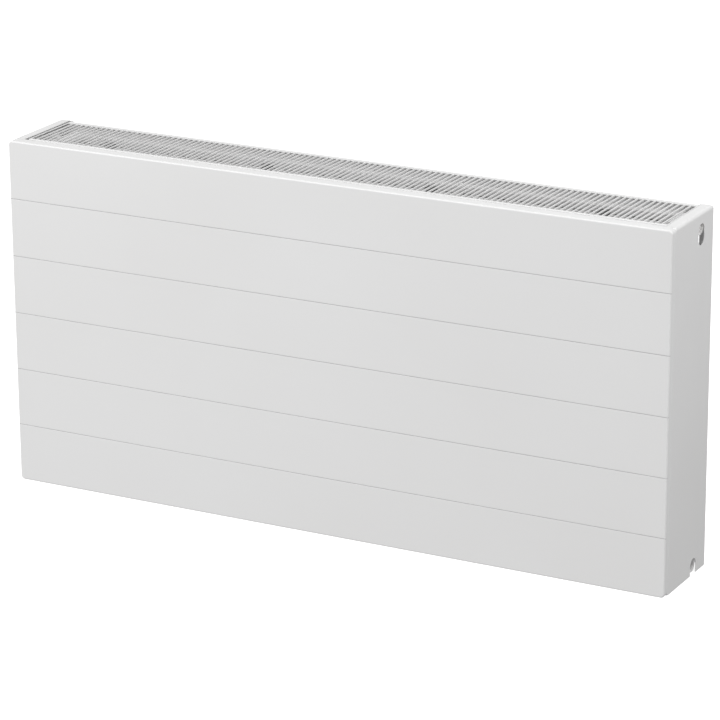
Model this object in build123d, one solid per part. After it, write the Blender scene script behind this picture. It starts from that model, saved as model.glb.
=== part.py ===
from build123d import *
import os

# Steel panel radiator: three water panels with convectors behind a flat front plate.
# Millimetres. X runs along the radiator, Y from the room (-) to the wall (+), Z is up.
# The origin is the middle of the radiator's underside. Depths are counted from the front face.

# Driving dimensions
LENGTH = 1200.0
HEIGHT = 600.0
DEPTH = 166.0
HALF = LENGTH / 2
FRONT = -DEPTH / 2

# Sheet thicknesses
PLATE_SHEET = 1.2
SHELL_SHEET = 1.2
FIN_SHEET = 0.5
CASING_SHEET = 1.2
CLIP_SHEET = 0.8
LUG_SHEET = 1.8

# Front plate: a shallow tray with rolled horizontal grooves
PLATE_CORNER = 7.0
PLATE_EDGE = 2.5
PLATE_RETURN = 13.5
PLATE_TOP_RETURN = 20.0
PLATE_TOP_HALF = 592.0
GROOVE_PITCH = HEIGHT / 6
GROOVE_WIDTH = 2.0
GROOVE_DEPTH = 0.9
PAD_SIZE = 24.0

# Water panels: two pressed shells seam-welded all round
PANEL_HALF = 578.0
PANEL_THICK = 15.0
PANEL_FRONTS = {"front": 3.5, "middle": 73.25, "rear": 143.0}
RISE = PANEL_THICK / 2
CHANNEL_COUNT = 35
CHANNEL_BASE = 26.0
CHANNEL_CREST = 13.0
CREST_ROUND = 4.0
HEADER_BASE = 19.0
HEADER_CREST = 12.5
HEADER_ROUND = 3.0
SEAM_MARGIN = 1.5

# Pipe connections
TAP_X = 556.0
TAP_LOW = 16.0
TAP_SPACING = 560.0
TAP_HIGH = TAP_LOW + TAP_SPACING
TAP_MOUTH = 597.5
HEADER_HALF = TAP_X + 10.0
THREAD_RADIUS = 10.0
THREAD_LENGTH = 15.0
BOSS_RADIUS = 12.5
BOSS_LENGTH = 18.0
NECK_RADIUS = 8.0
NECK_BORE = 5.5
TUBE_RADIUS = 10.0
WATERWAY_RADIUS = 7.0
COLLAR_RADIUS = 9.2
PANEL_BOTTOM = TAP_LOW - HEADER_BASE / 2 - SEAM_MARGIN
PANEL_TOP = TAP_HIGH + HEADER_BASE / 2 + SEAM_MARGIN
CHANNEL_PITCH = 2 * TAP_X / (CHANNEL_COUNT - 1)

# Convectors: folded strips whose feet stand on the channel crests
FIN_HEIGHT = 26.0
FIN_BOTTOM = 42.0
FIN_TOP = 542.0

# Top grille
GRILLE_HALF = 578.5
GRILLE_FRONT = 29.5
GRILLE_REAR = 163.5
GRILLE_TOP = 598.5
GRILLE_SKIRT = 11.5
GRILLE_REAR_SKIRT = 20.0
GRILLE_REAR_BEND = 5.0
SLOT_COUNT = 115
SLOT_PITCH = 10.04
SLOT_FRONT = 34.75
SLOT_REAR = 149.5
BAR_WIDTH = 1.8
BAR_DEPTH = 2.3
SKIRT_NOTCH = (6.0, 2.6)

# Side covers
COVER_FRONT = 14.0
COVER_BOTTOM = 0.4
COVER_INNER = 581.0
COVER_REAR_INNER = 576.0
COVER_TOP_BEND = 5.0
COVER_REAR_BEND = 4.0
COVER_FRONT_BEND = 1.6
COVER_TOP_FRONT = 20.6
COVER_TOP_STEP = 1.8
COVER_CORNER = 592.6
ACCESS_RADIUS = 11.5
COVER_LEG_TOP = TAP_LOW + ACCESS_RADIUS + 0.5
VENT_SLOT = (547.6, 582.4)
CLIP_GAP = 0.3
CLIP_HEIGHT = 20.0

# Hanging lugs
LUG_X = TAP_X - 3.5 * CHANNEL_PITCH
LUG_HEIGHT = 46.0
LUG_BOTTOMS = {"lower": 70.0, "upper": 470.0}
LUG_HALF = 11.5
LUG_FOOT_HALF = 22.0

# Air vent and blank plug, both sunk in their bosses
SEAL_THICK = 1.6
SEAL_RADIUS = 9.6
SEAL_BORE = 7.0
BOSS_FLOOR = TAP_MOUTH - THREAD_LENGTH
SHANK_START = BOSS_FLOOR + SEAL_THICK
SHANK_CLEARANCE = 0.05
PLUG_FACE = TAP_MOUTH - 2.5
SOCKET_RADIUS = 5.8
SOCKET_DEPTH = 6.0
VENT_FACE = TAP_MOUTH - 3.0
CUP_RADIUS = 8.6
CUP_FLOOR = VENT_FACE - 3.2
SPIGOT_RADIUS = 4.5
SPIGOT_END = CUP_FLOOR + 1.4
NOZZLE_FACE = VENT_FACE + 0.4
OUTLET_DROP = 6.5
OUTLET_RADIUS = 1.5
OUTLET_END = TAP_MOUTH - 2.0
DUCT_RADIUS = 0.8
SCREW_RADIUS = 2.5
SCREW_SEAT = BOSS_FLOOR + 4.0
SCREW_SQUARE = 5.0
SCREW_END = TAP_MOUTH - 2.0
VENT_BORE_RADIUS = 1.2
TURN_CLEARANCE = 0.05

TAP_DEPTH = (PANEL_FRONTS["middle"] + PANEL_THICK + PANEL_FRONTS["rear"]) / 2
TAP_Y = FRONT + TAP_DEPTH
SIDES = {"left": -1, "right": 1}
TAP_LEVELS = {"lower": TAP_LOW, "upper": TAP_HIGH}


def block(x, depth, z):
    """Box between two corners given as (low, high) pairs, with the depth counted from the front face."""
    size = [high - low for low, high in (x, depth, z)]
    centre = [(low + high) / 2 for low, high in (x, depth, z)]
    return Pos(centre[0], FRONT + centre[1], centre[2]) * Box(*size)


def rod_y(x, depth, z, radius):
    """Round bar along Y between two depths."""
    middle = FRONT + sum(depth) / 2
    return Pos(x, middle, z) * Rot(90, 0, 0) * Cylinder(radius, depth[1] - depth[0])


def rod_x(x, y, z, radius):
    """Round bar along X between two stations."""
    return Pos(sum(x) / 2, y, z) * Rot(0, 90, 0) * Cylinder(radius, x[1] - x[0])


def strip(points, thickness):
    """Closed outline of a bent sheet of even thickness that follows a centre line of (x, y) points."""
    half = thickness / 2
    headings = [(Vector(*b) - Vector(*a)).normalized() for a, b in zip(points, points[1:])]
    left, right = [], []
    for index, point in enumerate(points):
        before = headings[max(index - 1, 0)]
        after = headings[min(index, len(headings) - 1)]
        normal = Vector(-before.Y, before.X) + Vector(-after.Y, after.X)
        offset = normal * (2 * half / normal.dot(normal))
        left.append(Vector(*point) + offset)
        right.append(Vector(*point) - offset)
    return make_face(Polyline(*right, *reversed(left), close=True))


def mirrored(shape):
    """The same piece for the left-hand end."""
    return mirror(shape, about=Plane.YZ)


def front_plate():
    """Flat tray, open to the back, whose top return is deeper than its other three."""

    def tray(inset, depth_from, depth_to):
        face = Plane(origin=(0, FRONT + depth_from, HEIGHT / 2), x_dir=(1, 0, 0), z_dir=(0, -1, 0))
        outline = RectangleRounded(LENGTH - 2 * inset, HEIGHT - 2 * inset, PLATE_CORNER - inset)
        solid = extrude(face * outline, -(depth_to - depth_from))
        return fillet(solid.faces().sort_by(Axis.Y)[0].edges(), PLATE_EDGE - inset)

    plate = tray(0, 0, PLATE_TOP_RETURN) - tray(PLATE_SHEET, PLATE_SHEET, PLATE_TOP_RETURN + 1)
    beyond_return = (PLATE_RETURN, PLATE_TOP_RETURN + 1)
    plate -= block((-HALF - 1, HALF + 1), beyond_return, (-1, HEIGHT - PLATE_SHEET))
    for side in SIDES.values():
        ends = sorted((side * PLATE_TOP_HALF, side * (HALF + 1)))
        plate -= block(ends, beyond_return, (HEIGHT - PLATE_CORNER - 1, HEIGHT + 1))

    def rolled(mouth, depth, start, half_length):
        section = Polyline((start, mouth / 2), (start, -mouth / 2), (start + depth, 0), close=True)
        across = Plane(origin=(-half_length, FRONT, 0), x_dir=(0, 1, 0), z_dir=(1, 0, 0))
        return extrude(across * make_face(section), 2 * half_length)

    ridge = rolled(GROOVE_WIDTH + PLATE_SHEET, GROOVE_DEPTH, PLATE_SHEET, HALF - PLATE_SHEET)
    groove = rolled(GROOVE_WIDTH, GROOVE_DEPTH, 0, HALF + 1)
    levels = [GROOVE_PITCH * step for step in range(1, 6)]
    plate += [Pos(0, 0, level) * ridge for level in levels]
    return plate - [Pos(0, 0, level) * groove for level in levels]


def front_plate_pads():
    """Bonding pads that hold the front plate on the crests of the front water panel."""
    pads = []
    for column in (-15, -9, -3, 3, 9, 15):
        for level in (GROOVE_PITCH * 1.5, GROOVE_PITCH * 4.5):
            middle = column * CHANNEL_PITCH
            span = (middle - CHANNEL_CREST / 2 + 1, middle + CHANNEL_CREST / 2 - 1)
            pads.append(block(span, (PLATE_SHEET, PANEL_FRONTS["front"]), (level, level + PAD_SIZE)))
    return Compound(children=pads)


def pressing(inset):
    """Channel pattern of one shell above its seam plane: upright channels between two headers."""

    def ridge(base, crest, rounding):
        lean = (base - crest) / 2 / RISE * inset
        low, high = base / 2 - lean, crest / 2 - inset / 2
        top = RISE - inset
        face = make_face(Polyline((-low, 0), (low, 0), (high, top), (-high, top), close=True))
        return fillet(face.vertices().group_by(Axis.Y)[-1], rounding - inset)

    upright = extrude(ridge(CHANNEL_BASE, CHANNEL_CREST, CREST_ROUND), TAP_SPACING)
    places = [-TAP_X + CHANNEL_PITCH * number for number in range(CHANNEL_COUNT)]
    parts = [Pos(place, 0, TAP_LOW) * upright for place in places]
    reach = HEADER_HALF - inset
    along = Plane(origin=(-reach, 0, 0), x_dir=(0, 0, -1), z_dir=(1, 0, 0))
    header = extrude(along * ridge(HEADER_BASE, HEADER_CREST, HEADER_ROUND), 2 * reach)
    parts += [Pos(0, 0, level) * header for level in TAP_LEVELS.values()]
    base_up = (Align.CENTER, Align.CENTER, Align.MIN)
    collar = Rot(-90, 0, 0) * Cylinder(COLLAR_RADIUS - inset, RISE - inset, align=base_up)
    for level in TAP_LEVELS.values():
        parts += [Pos(side * TAP_X, 0, level) * collar for side in SIDES.values()]
    return parts


def plain_shell():
    """Pressed half of a water panel, with its seam plane at Y = 0 and its channels towards +Y."""
    sheet = Pos(0, SHELL_SHEET / 2, (PANEL_BOTTOM + PANEL_TOP) / 2) * Box(
        2 * PANEL_HALF, SHELL_SHEET, PANEL_TOP - PANEL_BOTTOM
    )
    return sheet + pressing(0) - pressing(SHELL_SHEET)


def port_holes(panel):
    """Waterway holes at the four corners of a panel."""
    depth = (PANEL_FRONTS[panel] - 1, PANEL_FRONTS[panel] + PANEL_THICK + 1)
    return [
        rod_y(side * TAP_X, depth, level, WATERWAY_RADIUS)
        for side in SIDES.values()
        for level in TAP_LEVELS.values()
    ]


def water_panel_shells():
    """Front and rear shell of each water panel, with holes where a pipe joins."""
    rear_half = plain_shell()
    front_half = mirror(rear_half, about=Plane.XZ)
    shells = {}
    for panel, depth in PANEL_FRONTS.items():
        seam = Pos(0, FRONT + depth + RISE, 0)
        front_shell, rear_shell = seam * front_half, seam * rear_half
        if panel != "front":
            front_shell -= port_holes(panel)
        if panel != "rear":
            rear_shell -= port_holes(panel)
        shells[f"{panel}_panel_front_shell"] = front_shell
        shells[f"{panel}_panel_rear_shell"] = rear_shell
    return shells


def convector(foot_depth, toward):
    """Folded fin strip standing on the crests at foot_depth and rising towards +Y (1) or -Y (-1)."""
    near = FRONT + foot_depth + toward * FIN_SHEET / 2
    far = FRONT + foot_depth + toward * (FIN_HEIGHT - FIN_SHEET / 2)
    half_foot = CHANNEL_CREST / 2
    line = []
    for number in range(CHANNEL_COUNT):
        middle = -TAP_X + CHANNEL_PITCH * number
        line += [(middle - half_foot, far), (middle - half_foot, near)]
        line += [(middle + half_foot, near), (middle + half_foot, far)]
    return Pos(0, 0, FIN_BOTTOM) * extrude(strip(line[1:-1], FIN_SHEET), FIN_TOP - FIN_BOTTOM)


def convectors():
    behind_front = PANEL_FRONTS["front"] + PANEL_THICK
    return {
        "front_convector": convector(behind_front, 1),
        "middle_convector": convector(PANEL_FRONTS["middle"], -1),
        "rear_convector": convector(PANEL_FRONTS["rear"], -1),
    }


def spacer_tube(side, level):
    """Waterway between the front and the middle panel."""
    span = (PANEL_FRONTS["front"] + PANEL_THICK, PANEL_FRONTS["middle"])
    tube = rod_y(side * TAP_X, span, level, TUBE_RADIUS)
    return tube - rod_y(side * TAP_X, (span[0] - 1, span[1] + 1), level, WATERWAY_RADIUS)


def connection_tee(side, level):
    """Waterway between the middle and the rear panel, with a threaded boss towards the end."""
    span = (PANEL_FRONTS["middle"] + PANEL_THICK, PANEL_FRONTS["rear"])
    tee = rod_y(TAP_X, span, level, TUBE_RADIUS)
    tee += rod_x((TAP_X, TAP_MOUTH), TAP_Y, level, NECK_RADIUS)
    tee += rod_x((TAP_MOUTH - BOSS_LENGTH, TAP_MOUTH), TAP_Y, level, BOSS_RADIUS)
    tee -= rod_y(TAP_X, (span[0] - 1, span[1] + 1), level, WATERWAY_RADIUS)
    tee -= rod_x((TAP_X, TAP_MOUTH), TAP_Y, level, NECK_BORE)
    tee -= rod_x((BOSS_FLOOR, TAP_MOUTH + 1), TAP_Y, level, THREAD_RADIUS)
    return tee if side > 0 else mirrored(tee)


def top_grille():
    """Slotted top cover: a channel with a short front skirt, a rounded rear edge and a deep rear skirt."""
    bottom = GRILLE_TOP - GRILLE_SKIRT
    across = Plane(origin=(-GRILLE_HALF, FRONT, 0), x_dir=(0, 1, 0), z_dir=(1, 0, 0))

    def skin(inset, low):
        face = make_face(
            Polyline(
                (GRILLE_FRONT + inset, low),
                (GRILLE_REAR - inset, low),
                (GRILLE_REAR - inset, GRILLE_TOP - inset),
                (GRILLE_FRONT + inset, GRILLE_TOP - inset),
                close=True,
            )
        )
        crown = face.vertices().group_by(Axis.Y)[-1].sort_by(Axis.X)
        face = fillet(crown[0], COVER_FRONT_BEND - inset)
        crown = face.vertices().sort_by(Axis.X)[-2:].sort_by(Axis.Y)
        return fillet(crown[-1], GRILLE_REAR_BEND - inset)

    grille = extrude(across * (skin(0, bottom) - skin(CASING_SHEET, bottom - 1)), 2 * GRILLE_HALF)
    grille += block(
        (-GRILLE_HALF, GRILLE_HALF),
        (GRILLE_REAR - CASING_SHEET, GRILLE_REAR),
        (GRILLE_TOP - GRILLE_REAR_SKIRT, bottom),
    )
    row_half = (SLOT_COUNT * SLOT_PITCH - BAR_WIDTH) / 2
    grille -= block((-row_half, row_half), (SLOT_FRONT, SLOT_REAR), (GRILLE_TOP - 2, GRILLE_TOP + 1))
    slots = [SLOT_PITCH * (number - (SLOT_COUNT - 1) / 2) for number in range(SLOT_COUNT)]
    bars = [
        block(
            (slot + (SLOT_PITCH - BAR_WIDTH) / 2, slot + (SLOT_PITCH + BAR_WIDTH) / 2),
            (SLOT_FRONT - 0.5, SLOT_REAR + 0.5),
            (GRILLE_TOP - BAR_DEPTH, GRILLE_TOP),
        )
        for slot in slots[:-1]
    ]
    width, drop = SKIRT_NOTCH
    notches = [
        block(
            (slot - width / 2, slot + width / 2),
            (GRILLE_FRONT - 1, GRILLE_FRONT + CASING_SHEET + 0.1),
            (GRILLE_TOP - COVER_FRONT_BEND - drop, GRILLE_TOP - COVER_FRONT_BEND),
        )
        for slot in slots
    ]
    return grille + bars - notches


def grille_clips():
    """Spring forks under the grille that straddle the top seam of the middle panel."""
    seam = FRONT + PANEL_FRONTS["middle"] + RISE
    arm = SHELL_SHEET + CLIP_GAP + CLIP_SHEET / 2
    roof = GRILLE_TOP - BAR_DEPTH - CLIP_SHEET / 2
    foot = PANEL_TOP - 1.5
    line = [(seam - arm, foot), (seam - arm, roof), (seam + arm, roof), (seam + arm, foot)]
    width = 20.0
    forks = []
    for middle in (-450.0, -150.0, 150.0, 450.0):
        across = Plane(origin=(middle - width / 2, 0, 0), x_dir=(0, 1, 0), z_dir=(1, 0, 0))
        forks.append(extrude(across * strip(line, CLIP_SHEET), width))
    return Compound(children=forks)


def side_cover_right():
    """Tall channel that closes one end, with a top flange, a vent hole and a pipe notch."""

    def channel(inset, inner, top, bottom):
        face = make_face(
            Polyline(
                (inner, FRONT + COVER_FRONT + inset),
                (HALF - inset, FRONT + COVER_FRONT + inset),
                (HALF - inset, FRONT + DEPTH - inset),
                (inner, FRONT + DEPTH - inset),
                close=True,
            )
        )
        front_corner, rear_corner = face.vertices().group_by(Axis.X)[-1].sort_by(Axis.Y)
        face = fillet(front_corner, COVER_FRONT_BEND - inset)
        face = fillet(face.vertices().sort_by_distance(rear_corner)[0], COVER_REAR_BEND - inset)
        solid = Pos(0, 0, bottom) * extrude(face, top - bottom)
        rim = solid.faces().sort_by(Axis.Z)[-1].edges().filter_by(Axis.Y)
        return fillet(rim.sort_by(Axis.X)[-1], COVER_TOP_BEND - inset)

    cover = channel(0, COVER_INNER, HEIGHT, COVER_BOTTOM)
    cover -= channel(CASING_SHEET, COVER_INNER - 1, HEIGHT - CASING_SHEET, COVER_BOTTOM - 1)
    rear_lap = block(
        (COVER_REAR_INNER, COVER_INNER),
        (DEPTH - CASING_SHEET, DEPTH),
        (COVER_BOTTOM, HEIGHT - COVER_TOP_STEP),
    )
    return cover + rear_lap


def side_cover_openings():
    """Vent slot, pipe notch and the step that lets the front plate's top return pass."""
    web = (HALF - 2 * CASING_SHEET, HALF + 1)
    sides = (TAP_DEPTH - ACCESS_RADIUS, TAP_DEPTH + ACCESS_RADIUS)
    slot_ends = (VENT_SLOT[0] + ACCESS_RADIUS, VENT_SLOT[1] - ACCESS_RADIUS)
    arches = [rod_x(web, TAP_Y, level, ACCESS_RADIUS) for level in (*slot_ends, TAP_LOW)]
    step = block(
        (COVER_INNER - 1, COVER_CORNER),
        (COVER_FRONT - 1, COVER_TOP_FRONT),
        (HEIGHT - COVER_TOP_STEP, HEIGHT + 1),
    )
    return [*arches, block(web, sides, slot_ends), block(web, sides, (-1, TAP_LOW)), step]


def cover_with_legs(cover):
    """The cover in three solids that meet face to face: the sheet, and a leg each side of the notch."""
    width = (COVER_REAR_INNER - 1, HALF + 1)
    sheet = cover & block(width, (-1, DEPTH + 1), (COVER_LEG_TOP, HEIGHT + 1))
    legs = [
        cover & block(width, span, (-1, COVER_LEG_TOP))
        for span in ((-1, TAP_DEPTH), (TAP_DEPTH, DEPTH + 1))
    ]
    return Compound([solid for piece in (sheet, *legs) for solid in piece.solids()])


def cover_clips_right():
    """Spring forks inside the right-hand cover that grip the end seam of the middle panel."""
    seam = FRONT + PANEL_FRONTS["middle"] + RISE
    arm = SHELL_SHEET + CLIP_GAP + CLIP_SHEET / 2
    back = HALF - CASING_SHEET - CLIP_SHEET / 2
    tip = PANEL_HALF - 3.5
    line = [(tip, seam + arm), (back, seam + arm), (back, seam - arm), (tip, seam - arm)]
    fork = extrude(strip(line, CLIP_SHEET), CLIP_HEIGHT)
    return Compound(children=[Pos(0, 0, level) * fork for level in (130.0, 290.0, 450.0)])


def hanging_lug(side, bottom):
    """Hat-shaped pocket on the back of the rear panel, closed at the top, for a wall bracket's hook."""
    near = FRONT + PANEL_FRONTS["rear"] + PANEL_THICK + LUG_SHEET / 2
    far = FRONT + DEPTH - LUG_SHEET / 2
    line = [(-LUG_FOOT_HALF, near), (-LUG_HALF, near), (-LUG_HALF, far)]
    line += [(-x, y) for x, y in reversed(line)]
    lug = extrude(strip(line, LUG_SHEET), LUG_HEIGHT)
    half = LUG_HALF + LUG_SHEET / 2
    depths = (PANEL_FRONTS["rear"] + PANEL_THICK, DEPTH)
    lug += block((-half, half), depths, (LUG_HEIGHT - LUG_SHEET, LUG_HEIGHT))
    return Pos(side * LUG_X, 0, bottom) * lug


def connection_seal():
    """Flat ring between the floor of a boss and its plug, for the right-hand end."""
    span = (BOSS_FLOOR, SHANK_START)
    return rod_x(span, TAP_Y, TAP_HIGH, SEAL_RADIUS) - rod_x(
        (span[0] - 1, span[1] + 1), TAP_Y, TAP_HIGH, SEAL_BORE
    )


def plug_shank(face):
    """Threaded shank that fills a boss from its seal to a given face, for the right-hand end."""
    return rod_x((SHANK_START, face), TAP_Y, TAP_HIGH, THREAD_RADIUS - SHANK_CLEARANCE)


def blank_plug_right():
    """Sunk plug with a hexagon socket."""
    socket_floor = Plane(
        origin=(PLUG_FACE - SOCKET_DEPTH, TAP_Y, TAP_HIGH), x_dir=(0, 1, 0), z_dir=(1, 0, 0)
    )
    socket = extrude(socket_floor * RegularPolygon(SOCKET_RADIUS, 6), 2 * SOCKET_DEPTH)
    return plug_shank(PLUG_FACE) - socket


def vent_body():
    """Vent plug: a threaded cup with a short spigot that carries the nozzle ring."""
    body = plug_shank(VENT_FACE) - rod_x((CUP_FLOOR, HALF), TAP_Y, TAP_HIGH, CUP_RADIUS)
    body += rod_x((CUP_FLOOR - 1, SPIGOT_END), TAP_Y, TAP_HIGH, SPIGOT_RADIUS)
    body -= rod_x((SCREW_SEAT, HALF), TAP_Y, TAP_HIGH, SCREW_RADIUS + TURN_CLEARANCE)
    return body - rod_x((SHANK_START - 1, SCREW_SEAT), TAP_Y, TAP_HIGH, VENT_BORE_RADIUS)


def vent_nozzle():
    """Ring that turns in the vent's cup and points its outlet where the water should go."""
    start = CUP_FLOOR + TURN_CLEARANCE
    outlet = TAP_HIGH - OUTLET_DROP
    ring = rod_x((start, NOZZLE_FACE), TAP_Y, TAP_HIGH, CUP_RADIUS - TURN_CLEARANCE)
    ring += rod_x((start, OUTLET_END), TAP_Y, outlet, OUTLET_RADIUS)
    ring -= rod_x((start - 1, NOZZLE_FACE + 1), TAP_Y, TAP_HIGH, SPIGOT_RADIUS + TURN_CLEARANCE)
    return ring - rod_x((start - 1, OUTLET_END + 1), TAP_Y, outlet, DUCT_RADIUS)


def bleed_screw():
    """Square-headed screw that closes the vent."""
    screw = rod_x((SCREW_SEAT, SPIGOT_END), TAP_Y, TAP_HIGH, SCREW_RADIUS)
    head = block(
        (SPIGOT_END, SCREW_END),
        (TAP_DEPTH - SCREW_SQUARE / 2, TAP_DEPTH + SCREW_SQUARE / 2),
        (TAP_HIGH - SCREW_SQUARE / 2, TAP_HIGH + SCREW_SQUARE / 2),
    )
    return screw + head


def end_fittings():
    """Covers, clips and plugs: drawn at the right-hand end and mirrored where the left has one too."""
    cover = cover_with_legs(side_cover_right() - side_cover_openings())
    clips, seal = cover_clips_right(), connection_seal()
    return {
        "side_cover_right": cover,
        "side_cover_left": mirrored(cover),
        "cover_clips_right": clips,
        "cover_clips_left": mirrored(clips),
        "vent_seal": seal,
        "vent_body": vent_body(),
        "vent_nozzle": vent_nozzle(),
        "bleed_screw": bleed_screw(),
        "blank_plug_seal": mirrored(seal),
        "blank_plug": mirrored(blank_plug_right()),
    }


def build_all():
    """Every piece by its node name."""
    parts = {"front_plate": front_plate(), "front_plate_pads": front_plate_pads()}
    parts.update(water_panel_shells())
    parts.update(convectors())
    for side_name, side in SIDES.items():
        for level_name, level in TAP_LEVELS.items():
            parts[f"spacer_tube_{level_name}_{side_name}"] = spacer_tube(side, level)
            parts[f"connection_tee_{level_name}_{side_name}"] = connection_tee(side, level)
        for level_name, bottom in LUG_BOTTOMS.items():
            parts[f"hanging_lug_{level_name}_{side_name}"] = hanging_lug(side, bottom)
    parts["top_grille"] = top_grille()
    parts["grille_clips"] = grille_clips()
    parts.update(end_fittings())
    return parts


os.makedirs("parts", exist_ok=True)
for name, shape in build_all().items():
    export_step(shape, f"parts/{name}.step")
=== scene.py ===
import math
import random

import bmesh
import bpy
from mathutils import Matrix, Vector
from mathutils.bvhtree import BVHTree


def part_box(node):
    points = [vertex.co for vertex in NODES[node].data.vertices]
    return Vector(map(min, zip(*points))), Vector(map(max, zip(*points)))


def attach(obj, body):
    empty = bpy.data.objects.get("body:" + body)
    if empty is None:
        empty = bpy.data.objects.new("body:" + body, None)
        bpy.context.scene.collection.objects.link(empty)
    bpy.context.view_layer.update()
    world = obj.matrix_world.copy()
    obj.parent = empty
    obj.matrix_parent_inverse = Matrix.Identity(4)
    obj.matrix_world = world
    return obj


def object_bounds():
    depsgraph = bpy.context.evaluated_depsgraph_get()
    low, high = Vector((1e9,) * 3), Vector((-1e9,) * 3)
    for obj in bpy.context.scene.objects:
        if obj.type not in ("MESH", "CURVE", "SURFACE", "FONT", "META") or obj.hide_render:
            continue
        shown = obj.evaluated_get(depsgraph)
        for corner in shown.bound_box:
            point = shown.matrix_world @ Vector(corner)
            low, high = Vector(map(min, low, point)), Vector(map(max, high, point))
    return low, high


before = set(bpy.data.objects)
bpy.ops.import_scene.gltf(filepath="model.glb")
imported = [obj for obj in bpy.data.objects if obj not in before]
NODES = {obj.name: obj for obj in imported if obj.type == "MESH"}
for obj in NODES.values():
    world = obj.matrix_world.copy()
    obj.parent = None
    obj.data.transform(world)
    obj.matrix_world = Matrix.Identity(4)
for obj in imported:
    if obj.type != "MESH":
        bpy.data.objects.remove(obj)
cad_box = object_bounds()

MM = 0.001
CORE = "radiator_core"
scene = bpy.context.scene
PLATE_HEIGHT = 0.6
GROOVE_PITCH = 0.1
GROOVE_SHADE = 0.72
FACE_DEPTH = 3 * MM


# ---------------------------------------------------------------- materials

class Nodes:
    """A material's node tree with one Principled shader, built a node at a time."""

    def __init__(self, name):
        self.material = bpy.data.materials.new(name + "_finish")
        self.material.use_nodes = True
        self.tree = self.material.node_tree
        self.shader = next(n for n in self.tree.nodes if n.type == "BSDF_PRINCIPLED")
        self.place = self.add("ShaderNodeTexCoord").outputs["Object"]
        self.height = None

    def add(self, kind, **values):
        node = self.tree.nodes.new(kind)
        for key, value in values.items():
            if key in node.inputs:
                node.inputs[key].default_value = value
            else:
                setattr(node, key, value)
        return node

    def link(self, output, socket):
        self.tree.links.new(output, socket)

    def stretched(self, scale):
        mapping = self.add("ShaderNodeMapping")
        mapping.inputs["Scale"].default_value = scale
        self.link(self.place, mapping.inputs["Vector"])
        return mapping.outputs["Vector"]

    def noise(self, per_metre, detail=2.0, rough=0.5, stretch=None):
        node = self.add("ShaderNodeTexNoise", Scale=per_metre, Detail=detail, Roughness=rough)
        self.link(self.stretched(stretch) if stretch else self.place, node.inputs["Vector"])
        return node.outputs["Fac"]

    def cells(self, per_metre):
        node = self.add("ShaderNodeTexVoronoi", Scale=per_metre)
        self.link(self.place, node.inputs["Vector"])
        return node.outputs["Distance"]

    def spread(self, source, low, high, start=0.3, end=0.7):
        node = self.add("ShaderNodeMapRange")
        for socket, value in (("From Min", start), ("From Max", end),
                              ("To Min", low), ("To Max", high)):
            node.inputs[socket].default_value = value
        self.link(source, node.inputs["Value"])
        return node.outputs["Result"]

    def mixed(self, factor, first, second):
        """A colour between two, each a colour or another output."""
        node = self.add("ShaderNodeMix", data_type="RGBA")
        colours = [s for s in node.inputs if s.type == "RGBA"]
        self.link(factor, node.inputs[0])
        for socket, value in zip(colours, (first, second)):
            if isinstance(value, tuple):
                socket.default_value = value + (1.0,)
            else:
                self.link(value, socket)
        return next(s for s in node.outputs if s.type == "RGBA")

    def bump(self, source, depth, strength=1.0):
        node = self.add("ShaderNodeBump", Strength=strength, Distance=depth)
        self.link(source, node.inputs["Height"])
        if self.height:
            self.link(self.height, node.inputs["Normal"])
        self.height = node.outputs["Normal"]

    def finish(self, colour, roughness, **constants):
        self.link(colour, self.shader.inputs["Base Color"])
        self.link(roughness, self.shader.inputs["Roughness"])
        if self.height:
            self.link(self.height, self.shader.inputs["Normal"])
        for key, value in constants.items():
            self.shader.inputs[key.replace("_", " ")].default_value = value
        return self.material


def grey(level, warmth=0.0):
    return (level * (1 + warmth), level, level * (1 - warmth))


def painted_groove_shade(n, base, level):
    """Painted shade in the front plate's grooves: a darker line at each GROOVE_PITCH of height, and not on
    its returns.
    """
    height = n.add("ShaderNodeSeparateXYZ")
    n.link(n.place, height.inputs[0])
    nearest = n.add("ShaderNodeMath", operation="PINGPONG")
    nearest.inputs[1].default_value = GROOVE_PITCH / 2
    n.link(height.outputs["Z"], nearest.inputs[0])
    offset = n.add("ShaderNodeMath", operation="SUBTRACT")
    offset.inputs[1].default_value = PLATE_HEIGHT / 2
    n.link(height.outputs["Z"], offset.inputs[0])
    reach = n.add("ShaderNodeMath", operation="ABSOLUTE")
    n.link(offset.outputs[0], reach.inputs[0])
    inner = n.spread(reach.outputs[0], 1.0, 0.0, PLATE_HEIGHT / 2 - GROOVE_PITCH / 2,
                     PLATE_HEIGHT / 2 - GROOVE_PITCH / 4)
    line = n.add("ShaderNodeMath", operation="MULTIPLY")
    n.link(inner, line.inputs[0])
    n.link(n.spread(nearest.outputs[0], 1.0, 0.0, 0.0005, 0.001), line.inputs[1])
    face = n.add("ShaderNodeMath", operation="LESS_THAN")
    face.inputs[1].default_value = cad_box[0][1] + FACE_DEPTH
    n.link(height.outputs["Y"], face.inputs[0])
    front = n.add("ShaderNodeMath", operation="MULTIPLY")
    n.link(line.outputs[0], front.inputs[0])
    n.link(face.outputs[0], front.inputs[1])
    return n.mixed(front.outputs[0], base, grey(level * GROOVE_SHADE))


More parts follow.
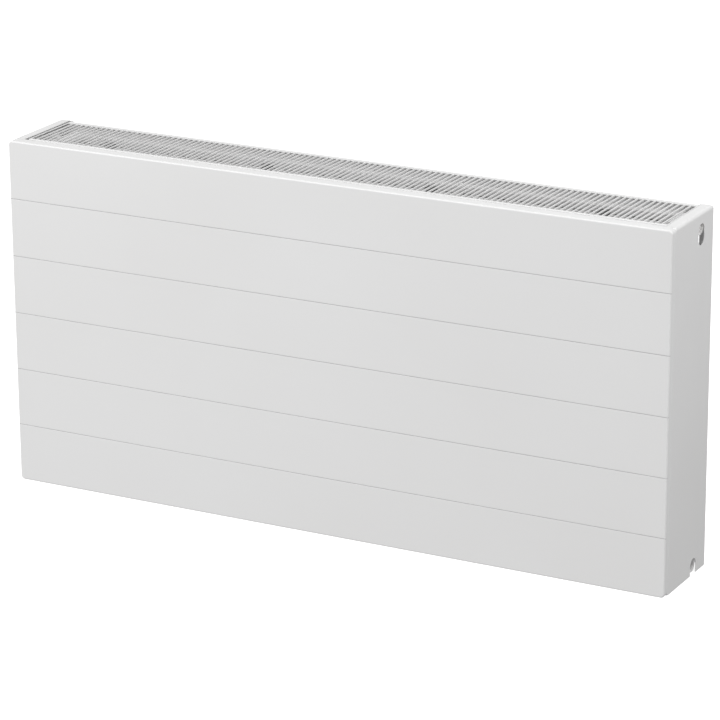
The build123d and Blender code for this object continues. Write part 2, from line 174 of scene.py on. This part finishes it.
def enamel(name, level, peel, dust, gloss, with_groove_shade=False):
    """Baked white enamel: soft cloudiness, orange peel, and dust that settles on what faces up."""
    n = Nodes(name)
    cloud = n.spread(n.noise(3.0, 3.0), 0.0, 1.0)
    base = n.mixed(cloud, grey(level), grey(level * 0.975, 0.003))
    fleck = n.spread(n.noise(420.0, 1.0), 0.0, 0.35, 0.62, 0.8)
    base = n.mixed(fleck, base, grey(level * 0.94, 0.006))
    facing = n.add("ShaderNodeSeparateXYZ")
    n.link(n.add("ShaderNodeNewGeometry").outputs["Normal"], facing.inputs[0])
    settled = n.add("ShaderNodeMath", operation="MULTIPLY")
    n.link(n.spread(facing.outputs["Z"], 0.0, dust, 0.6, 1.0), settled.inputs[0])
    n.link(n.spread(n.noise(35.0, 5.0, 0.65), 0.0, 1.0), settled.inputs[1])
    base = n.mixed(settled.outputs[0], base, grey(level * 0.8, 0.02))
    # Painted shade: the groove lines of the front plate are darkened in the colour.
    if with_groove_shade:
        base = painted_groove_shade(n, base, level)
    n.bump(n.noise(260.0, 2.0), 0.00004 * peel)
    n.bump(n.noise(900.0, 1.0), 0.00001 * peel)
    rough = n.spread(n.noise(14.0, 4.0), gloss - 0.04, gloss + 0.06)
    return n.finish(base, rough, Coat_Weight=0.2, Coat_Roughness=0.15)


def metal(name, light, dark, low, high, streak, scratch):
    """Bare or plated metal, with drawn streaks, a mottled tone and fine scratches."""
    n = Nodes(name)
    mottle = n.spread(n.noise(160.0, 4.0, 0.6), 0.0, 1.0)
    drawn = n.noise(240.0, 3.0, stretch=streak)
    n.bump(drawn, 0.00002 * scratch)
    colour = n.mixed(mottle, light, dark)
    return n.finish(colour, n.spread(drawn, low, high), Metallic=1.0)


def rubber(name):
    n = Nodes(name)
    bloom = n.spread(n.noise(300.0, 4.0, 0.6), 0.0, 1.0)
    n.bump(n.noise(2600.0, 2.0), 0.00003)
    colour = n.mixed(bloom, grey(0.012), grey(0.028, 0.02))
    return n.finish(colour, n.spread(n.noise(500.0), 0.62, 0.82))


def moulded(name, level):
    n = Nodes(name)
    flow = n.spread(n.noise(120.0, 2.0, stretch=(0.3, 1.0, 1.0)), 0.0, 1.0)
    n.bump(n.noise(1800.0, 2.0), 0.00002)
    colour = n.mixed(flow, grey(level, 0.006), grey(level * 0.95, 0.012))
    return n.finish(colour, n.spread(n.noise(220.0), 0.36, 0.46))


def foam(name):
    n = Nodes(name)
    cell = n.cells(1400.0)
    n.bump(cell, 0.0002)
    colour = n.mixed(n.spread(cell, 0.0, 1.0, 0.1, 0.6), grey(0.2), grey(0.34))
    return n.finish(colour, n.spread(cell, 0.8, 0.95, 0.1, 0.6))


def primer_with_painted_shade(name, level):
    """Grey coat on the inner steel that the white powder never reaches, with runs; its grey is kept darker
    than the enamel as painted shade for the dim inside of the radiator.
    """
    n = Nodes(name)
    tone = n.mixed(n.spread(n.noise(9.0, 4.0), 0.0, 1.0), grey(level), grey(level * 0.9, 0.006))
    runs = n.spread(n.noise(60.0, 3.0, stretch=(1.0, 1.0, 0.12)), 0.0, 0.4, 0.45, 0.75)
    tone = n.mixed(runs, tone, grey(level * 0.85, 0.01))
    n.bump(n.noise(320.0, 3.0), 0.00006)
    return n.finish(tone, n.spread(n.noise(30.0, 3.0), 0.5, 0.66))


FINISHES = {
    # The front plate's enamel carries painted shade along its grooves.
    "front_enamel": enamel("front_enamel", 0.88, 1.0, 0.0, 0.34, True),
    "casing_enamel": enamel("casing_enamel", 0.87, 1.2, 0.03, 0.36),
    "panel_enamel": enamel("panel_enamel", 0.84, 1.6, 0.12, 0.42),
    "fin_enamel": enamel("fin_enamel", 0.80, 2.0, 0.2, 0.48),
    "bonding_pad": foam("bonding_pad"),
    "spring_steel": metal("spring_steel", grey(0.5), grey(0.38), 0.26, 0.4, (1, 1, 0.05), 1.5),
    "seal_rubber": rubber("seal_rubber"),
    "nickel_plate": metal("nickel_plate", grey(0.72, 0.02), grey(0.62, 0.03), 0.16, 0.28,
                          (0.1, 1, 1), 1.0),
    "nozzle_plastic": moulded("nozzle_plastic", 0.86),
    "brass": metal("brass", (0.76, 0.55, 0.24), (0.6, 0.41, 0.17), 0.2, 0.34, (0.1, 1, 1), 1.2),
}
# Painted shade: the steel deep inside the radiator gets the darker grey coat in place of the white enamel.
INNER_STEEL_PAINTED_SHADE = primer_with_painted_shade("inner_steel_painted_shade", 0.7)
HIDDEN_STEEL_PAINTED_SHADE = ("front_convector", "middle_convector", "rear_convector", "front_panel_rear_shell",
                "middle_panel_front_shell", "middle_panel_rear_shell", "rear_panel_front_shell")
for name, node in NODES.items():
    for holder in node.material_slots:
        slot_name = holder.material.name.split(".")[0]
        holder.material = INNER_STEEL_PAINTED_SHADE if name in HIDDEN_STEEL_PAINTED_SHADE else FINISHES[slot_name]


# ---------------------------------------------------------------- added pieces

def piece(name, mesh, body, slot):
    """A new object from a bmesh, with its finish, that rides on a body."""
    bmesh.ops.recalc_face_normals(mesh, faces=mesh.faces)
    data = bpy.data.meshes.new(name)
    mesh.to_mesh(data)
    mesh.free()
    for face in data.polygons:
        face.use_smooth = True
    data.materials.append(FINISHES[slot])
    made = bpy.data.objects.new(name, data)
    scene.collection.objects.link(made)
    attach(made, body)
    return made


def sweep(mesh, sections, closed):
    """Skins a list of rings of points, each with the same count, and caps the ends of an open one."""
    rings = [[mesh.verts.new(p) for p in section] for section in sections]
    pairs = list(zip(rings, rings[1:] + rings[:1])) if closed else list(zip(rings, rings[1:]))
    for a, b in pairs:
        for i in range(len(a)):
            j = (i + 1) % len(a)
            mesh.faces.new((a[i], a[j], b[j], b[i]))
    if not closed:
        mesh.faces.new(rings[0])
        mesh.faces.new(rings[-1])


def ring_weld(mesh, centre, outward, radius, bead, rng):
    """A wavy fillet of weld round a tube that stands along Y from a flat crest at centre."""
    steps, around = 72, 10
    sections = []
    for k in range(steps):
        turn = 2 * math.pi * k / steps
        ripple = bead * (1 + 0.12 * math.sin(18 * turn) + rng.uniform(-0.05, 0.05))
        spoke = Vector((math.cos(turn), 0, math.sin(turn)))
        section = []
        for i in range(around):
            a = 2 * math.pi * i / around
            section.append(centre + spoke * (radius + ripple * math.cos(a))
                           + Vector((0, outward * ripple * math.sin(a), 0)))
        sections.append(section)
    sweep(mesh, sections, True)


def stitch_weld(mesh, points, bead, rng):
    """A short run of weld along X, with tapered ends."""
    around = 10
    sections = []
    for k, point in enumerate(points):
        taper = math.sin(math.pi * (k + 0.5) / len(points)) ** 0.4
        r = bead * taper * (1 + 0.14 * math.sin(k * 2.1) + rng.uniform(-0.05, 0.05))
        sections.append([point + Vector((0, r * 0.7 * math.cos(2 * math.pi * i / around),
                                         r * math.sin(2 * math.pi * i / around)))
                         for i in range(around)])
    sweep(mesh, sections, False)


def thread(mesh, centre, start, end, radius, depth, pitch):
    """A helical ridge inside a bore along X."""
    per_turn = 40
    count = int(abs(end - start) / pitch * per_turn)
    sections = []
    for k in range(count + 1):
        x = start + (end - start) * k / count
        turn = 2 * math.pi * k / per_turn
        fade = min(1.0, k / 20, (count - k) / 20)
        spoke = Vector((0, math.cos(turn), math.sin(turn)))
        middle = Vector((x, centre.y, centre.z))
        half = Vector((pitch * 0.4, 0, 0))
        root = spoke * (radius + 0.1 * MM)
        crest = spoke * (radius - depth * fade)
        sections.append([middle + root - half, middle + crest - half * 0.15,
                         middle + crest + half * 0.15, middle + root + half])
    sweep(mesh, sections, False)


def surface(name):
    node = NODES[name]
    return BVHTree.FromPolygons([v.co for v in node.data.vertices],
                                [tuple(p.vertices) for p in node.data.polygons])


def weld_spot(mesh, centre, normal, radius, height):
    """A shallow crater with a raised rim, as an electrode leaves it."""
    profile = ((0.0, 0.15), (0.35, 0.12), (0.62, 0.35), (0.78, 1.0), (0.92, 0.7), (1.0, -0.3))
    side = normal.orthogonal().normalized()
    up = normal.cross(side)
    around = 16
    hub = mesh.verts.new(centre + normal * height * profile[0][1])
    previous = None
    for reach, rise in profile[1:]:
        loop = []
        for i in range(around):
            a = 2 * math.pi * i / around
            loop.append(mesh.verts.new(centre + (side * math.cos(a) + up * math.sin(a)) * radius * reach
                                       + normal * height * rise))
        for i in range(around):
            j = (i + 1) % around
            if previous is None:
                mesh.faces.new((hub, loop[i], loop[j]))
            else:
                mesh.faces.new((previous[i], loop[i], loop[j], previous[j]))
        previous = loop
    foot = mesh.verts.new(centre - normal * height)
    for i in range(around):
        mesh.faces.new((previous[i], previous[(i + 1) % around], foot))


rng = random.Random(11)

# Welds round the waterways between the panels.
spacer_low, spacer_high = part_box("spacer_tube_upper_right")
tube_radius = (spacer_high.x - spacer_low.x) / 2
WELD_BEAD = 1.3 * MM
for level in ("upper", "lower"):
    for side, sign in (("right", 1), ("left", -1)):
        welds = bmesh.new()
        for kind in ("spacer_tube", "connection_tee"):
            low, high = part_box(f"{kind}_{level}_{side}")
            inner = low.x if sign > 0 else high.x
            axis = Vector((inner + sign * tube_radius, 0, (low.z + high.z) / 2))
            for y, outward in ((low.y, 1), (high.y, -1)):
                ring_weld(welds, Vector((axis.x, y + outward * 0.3 * MM, axis.z)), outward,
                          tube_radius + 0.4 * MM, WELD_BEAD, rng)
        piece(f"waterway_welds_{level}_{side}", welds, CORE, "panel_enamel")

# Threads in the open tappings.
BOSS_DEPTH, THREAD_DEPTH, THREAD_PITCH = 14.5 * MM, 0.8 * MM, 1.814 * MM
BORE_RADIUS = 10 * MM
for side, sign in (("right", 1), ("left", -1)):
    low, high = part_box(f"connection_tee_lower_{side}")
    mouth = high.x if sign > 0 else low.x
    ridge = bmesh.new()
    thread(ridge, Vector((0, (low.y + high.y) / 2, (low.z + high.z) / 2)),
           mouth - sign * BOSS_DEPTH, mouth - sign * 0.6 * MM, BORE_RADIUS, THREAD_DEPTH, THREAD_PITCH)
    piece(f"tapping_thread_{side}", ridge, CORE, "panel_enamel")

# Spot welds in the valleys of the rear shell, and stitch welds at the hanging lugs.
_, back_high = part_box("rear_panel_rear_shell")
back = surface("rear_panel_rear_shell")
inward = Vector((0, -1, 0))
CHANNELS, CHANNEL_PITCH = 35, 32.706 * MM
SPOT_ROWS, SPOT_LOWEST, SPOT_HIGHEST = 7, 58 * MM, 534 * MM
SPOT_RADIUS, SPOT_RIM = 2.6 * MM, 0.35 * MM
VALLEY_DEPTH = 3 * MM
CAST_FROM = 0.05
spots = bmesh.new()
for i in range(CHANNELS - 1):
    x = (i - (CHANNELS - 2) / 2) * CHANNEL_PITCH
    for row in range(SPOT_ROWS):
        z = SPOT_LOWEST + row * (SPOT_HIGHEST - SPOT_LOWEST) / (SPOT_ROWS - 1)
        hit, normal, _, _ = back.ray_cast(Vector((x, back_high.y + CAST_FROM, z)), inward)
        if hit is not None and hit.y < back_high.y - VALLEY_DEPTH and normal.y > 0.95:
            weld_spot(spots, hit, Vector((0, 1, 0)), SPOT_RADIUS, SPOT_RIM)
piece("rear_spot_welds", spots, CORE, "panel_enamel")

STITCH_STEP, STITCH_BEAD, SHORTEST_RUN = 1.2 * MM, 1.4 * MM, 4
for level in ("upper", "lower"):
    for side in ("right", "left"):
        low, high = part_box(f"hanging_lug_{level}_{side}")
        stitches = bmesh.new()
        for z in (low.z - 0.3 * MM, high.z + 0.3 * MM):
            run = []
            steps = int((high.x - low.x) / STITCH_STEP)
            for k in range(steps + 1):
                x = low.x + (high.x - low.x) * k / steps
                hit, _, _, _ = back.ray_cast(Vector((x, back_high.y + CAST_FROM, z)), inward)
                on_crest = hit is not None and abs(hit.y - back_high.y) < 0.2 * MM
                if on_crest:
                    run.append(Vector((x, back_high.y + 0.3 * MM, z)))
                if run and (not on_crest or k == steps):
                    if len(run) > SHORTEST_RUN:
                        stitch_weld(stitches, run, STITCH_BEAD, rng)
                    run = []
        if len(stitches.faces):
            piece(f"lug_welds_{level}_{side}", stitches, CORE, "panel_enamel")
        else:
            stitches.free()

# Grip ribs on the face of the air-vent nozzle, clear of its outlet.
low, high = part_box("vent_nozzle")
centre = Vector((0, (low.y + high.y) / 2, (low.z + high.z) / 2))
reach = (high.z - low.z) / 2
ribs = bmesh.new()
RIBS, OUTLET_SINE = 30, -0.86
RIB_HALF_WIDTH, RIB_HEIGHT, RIB_ROOT = 0.3 * MM, 0.35 * MM, 0.1 * MM
face = high.x - 0.6 * MM
for i in range(RIBS):
    a = 2 * math.pi * i / RIBS
    if math.sin(a) < OUTLET_SINE:
        continue
    spoke = Vector((0, math.cos(a), math.sin(a)))
    across = Vector((0, -math.sin(a), math.cos(a)))
    sections = []
    for r in (reach - 1.5 * MM, reach - 1.2 * MM, reach - 0.5 * MM, reach - 0.2 * MM):
        full = 1.0 if 1.3 * MM > reach - r > 0.4 * MM else 0.4
        section = []
        for t in (math.pi * k / 4 for k in range(8)):
            rise = RIB_HEIGHT * max(0.0, math.sin(t)) * full - RIB_ROOT * (math.sin(t) < 0)
            section.append(centre + spoke * r + across * RIB_HALF_WIDTH * math.cos(t) * full
                           + Vector((face + rise, 0, 0)))
        sections.append(section)
    sweep(ribs, sections, False)
piece("nozzle_grip_ribs", ribs, "nozzle", "nozzle_plastic")


# ---------------------------------------------------------------- stage, light and camera

FLOOR_HALF, FLOOR_GLOW, FLOOR_DROP = 30.0, 0.75, 0.5 * MM


def floor():
    mesh = bmesh.new()
    bmesh.ops.create_grid(mesh, x_segments=8, y_segments=8, size=FLOOR_HALF)
    data = bpy.data.meshes.new("floor")
    mesh.to_mesh(data)
    mesh.free()
    n = Nodes("floor")
    colour = n.mixed(n.spread(n.noise(0.6), 0.0, 1.0), grey(0.9), grey(0.88))
    n.finish(colour, n.spread(n.noise(2.0), 0.85, 0.95))
    n.shader.inputs["Emission Color"].default_value = (1, 1, 1, 1)
    n.shader.inputs["Emission Strength"].default_value = FLOOR_GLOW
    data.materials.append(n.material)
    made = bpy.data.objects.new("floor", data)
    made.location.z = -FLOOR_DROP
    made.visible_diffuse = False
    made.visible_glossy = False
    scene.collection.objects.link(made)


def studio_world():
    """White to the camera, and a light tent for the object, bright above and dimmer to the side."""
    world = bpy.data.worlds.new("studio")
    world.use_nodes = True
    tree = world.node_tree
    tree.nodes.clear()
    place = tree.nodes.new("ShaderNodeTexCoord")
    slope = tree.nodes.new("ShaderNodeVectorMath")
    slope.operation = "DOT_PRODUCT"
    slope.inputs[1].default_value = TENT_SLOPE
    tree.links.new(place.outputs["Generated"], slope.inputs[0])
    level = tree.nodes.new("ShaderNodeMath")
    level.operation = "ADD"
    level.use_clamp = False
    level.inputs[1].default_value = TENT_LEVEL
    tree.links.new(slope.outputs["Value"], level.inputs[0])
    tent = tree.nodes.new("ShaderNodeBackground")
    tree.links.new(level.outputs[0], tent.inputs["Strength"])
    plain = tree.nodes.new("ShaderNodeBackground")
    plain.inputs["Strength"].default_value = 1.0
    for shade in (tent, plain):
        shade.inputs["Color"].default_value = (1, 1, 1, 1)
    ray = tree.nodes.new("ShaderNodeLightPath")
    mix = tree.nodes.new("ShaderNodeMixShader")
    out = tree.nodes.new("ShaderNodeOutputWorld")
    tree.links.new(ray.outputs["Is Camera Ray"], mix.inputs[0])
    tree.links.new(tent.outputs[0], mix.inputs[1])
    tree.links.new(plain.outputs[0], mix.inputs[2])
    tree.links.new(mix.outputs[0], out.inputs["Surface"])
    scene.world = world


def softbox(name, place, target, size, watts):
    light = bpy.data.lights.new(name, "AREA")
    light.shape = "RECTANGLE"
    light.size, light.size_y = size
    light.energy = watts
    made = bpy.data.objects.new(name, light)
    made.location = place
    made.rotation_euler = (Vector(target) - Vector(place)).to_track_quat("-Z", "Y").to_euler()
    scene.collection.objects.link(made)


TENT_LEVEL = 0.52
TENT_SLOPE = (-0.12, -0.16, 0.24)
floor()
studio_world()
softbox("key_softbox", (-1.6, -2.4, 2.2), (0, 0, 0.35), (1.6, 1.2), 34)
softbox("side_softbox", (2.3, -0.1, 1.5), (0.6, 0, 0.45), (0.9, 0.9), 14.4)
softbox("top_softbox", (0.2, 0.1, 2.6), (0, 0, 0.5), (2.4, 1.2), 8)

AZIMUTH, ELEVATION, ROLL = math.radians(28.053), math.radians(18.299), math.radians(-0.352)
CAMERA_TARGET = Vector((0.0181, 0.0, 0.28287))
CAMERA_DISTANCE, FOCAL_LENGTH, SENSOR = 5.7349, 175.19, 36.0
backward = Vector((math.sin(AZIMUTH) * math.cos(ELEVATION), -math.cos(AZIMUTH) * math.cos(ELEVATION),
                   math.sin(ELEVATION)))
camera_data = bpy.data.cameras.new("camera")
camera_data.lens = FOCAL_LENGTH
camera_data.sensor_width = SENSOR
camera = bpy.data.objects.new("camera", camera_data)
camera.location = CAMERA_TARGET + backward * CAMERA_DISTANCE
aim = (-backward).to_track_quat("-Z", "Y").to_matrix()
camera.rotation_euler = (aim @ Matrix.Rotation(ROLL, 3, "Z")).to_euler()
scene.collection.objects.link(camera)
scene.camera = camera
scene.view_settings.view_transform = "Standard"
